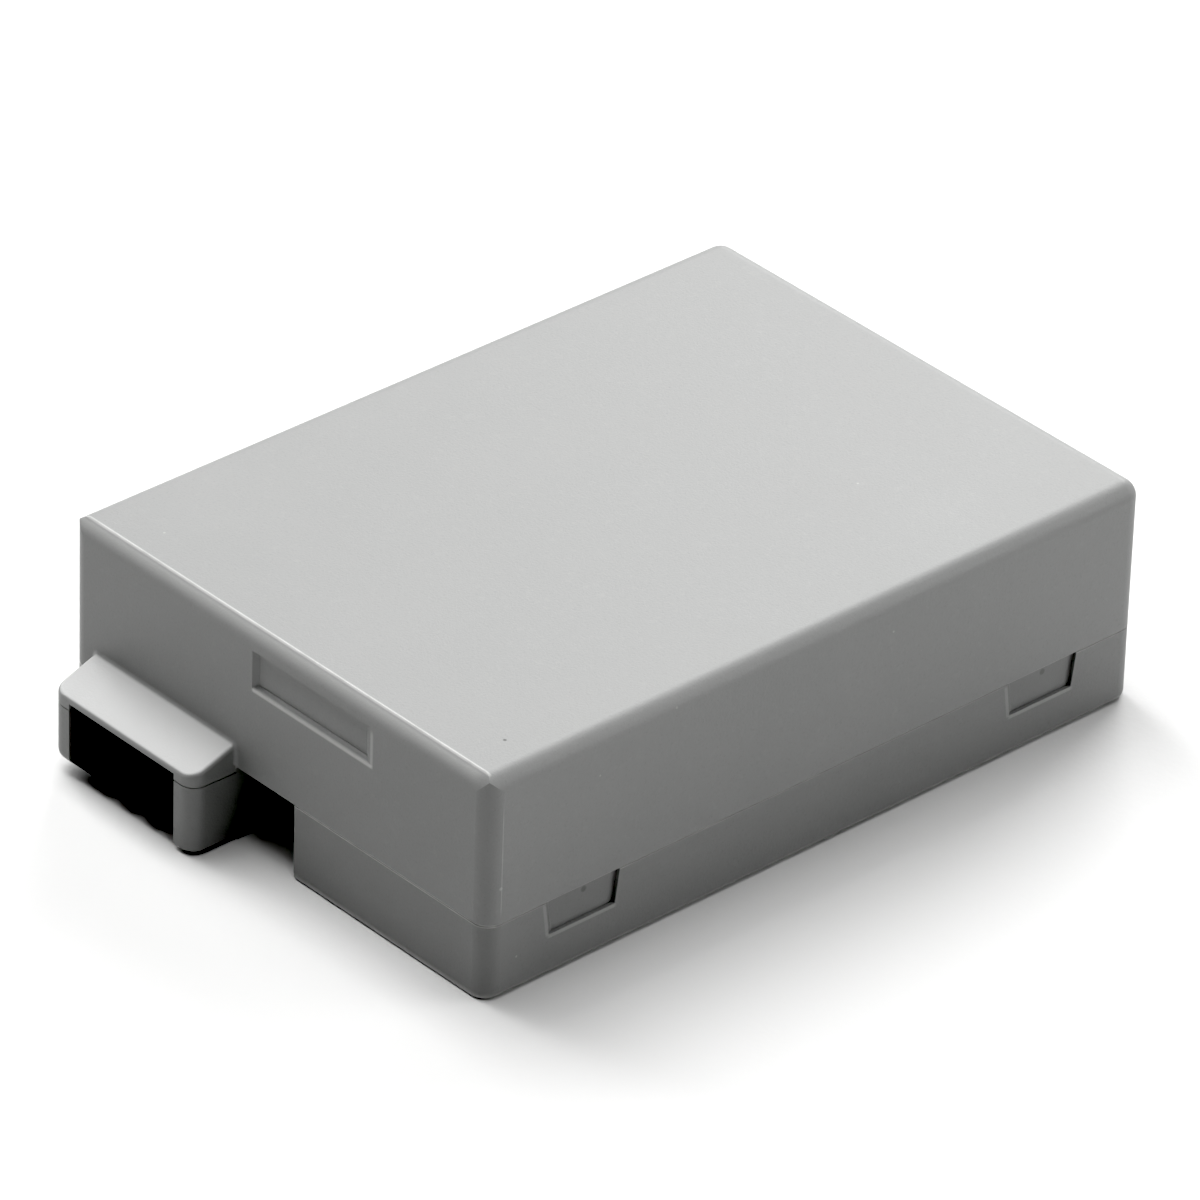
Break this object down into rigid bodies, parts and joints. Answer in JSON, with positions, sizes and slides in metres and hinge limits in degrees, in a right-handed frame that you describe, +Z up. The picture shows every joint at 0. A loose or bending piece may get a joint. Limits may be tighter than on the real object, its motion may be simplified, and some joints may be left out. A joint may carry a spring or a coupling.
{
  "type": "camera battery",
  "caption": "Flat grey camera battery with a small terminal block on one end, a keying notch beside it and shallow pockets in its long sides.",
  "frame": {"origin": "middle of the bounding box in plan, on the plane the battery lies on", "axes": "+Z up through the flat top, -Y towards the terminal end, +Y towards the plain rear end, +X to the right seen from the terminal end"},
  "size_m": [0.036, 0.0532, 0.0147],
  "materials": {
    "case_grey": "fine moulded texture",
    "insert_black": "satin moulded",
    "contact_gilt": "gold plated spring sheet",
    "board_green": "glass fibre laminate with solder mask",
    "chip_black": "moulded resin",
    "chip_ceramic": "fired body with tinned ends",
    "can_metal": "drawn, satin",
    "strap_nickel": "rolled nickel",
    "fibre_board": "pressed fibre",
    "tape_white": "double sided tape",
    "foam_black": "closed cell foam",
    "cutoff_case": "moulded resin"
  },
  "bodies": {
    "root": {"upper_shell": "case_grey", "lower_shell": "case_grey", "terminal_housing": "insert_black", "contact_plus": "contact_gilt", "contact_sense": "contact_gilt", "contact_data": "contact_gilt", "contact_minus": "contact_gilt", "circuit_board": "board_green", "protection_controller": "chip_black", "power_switch": "chip_black", "identity_chip": "chip_black", "thermistor": "chip_ceramic", "current_fuse": "chip_ceramic", "sense_resistor": "chip_ceramic", "chip_capacitors": "chip_ceramic", "chip_resistors": "chip_ceramic", "cell_upper": "can_metal", "cell_lower": "can_metal", "cell_tape": "tape_white", "cap_insulator": "fibre_board", "strap_series": "strap_nickel", "strap_plus": "strap_nickel", "strap_minus": "strap_nickel", "strap_centre_tap": "strap_nickel", "thermal_cutoff": "cutoff_case", "top_pad": "foam_black", "bottom_pad": "foam_black", "end_pad": "foam_black"}
  },
  "joints": []
}
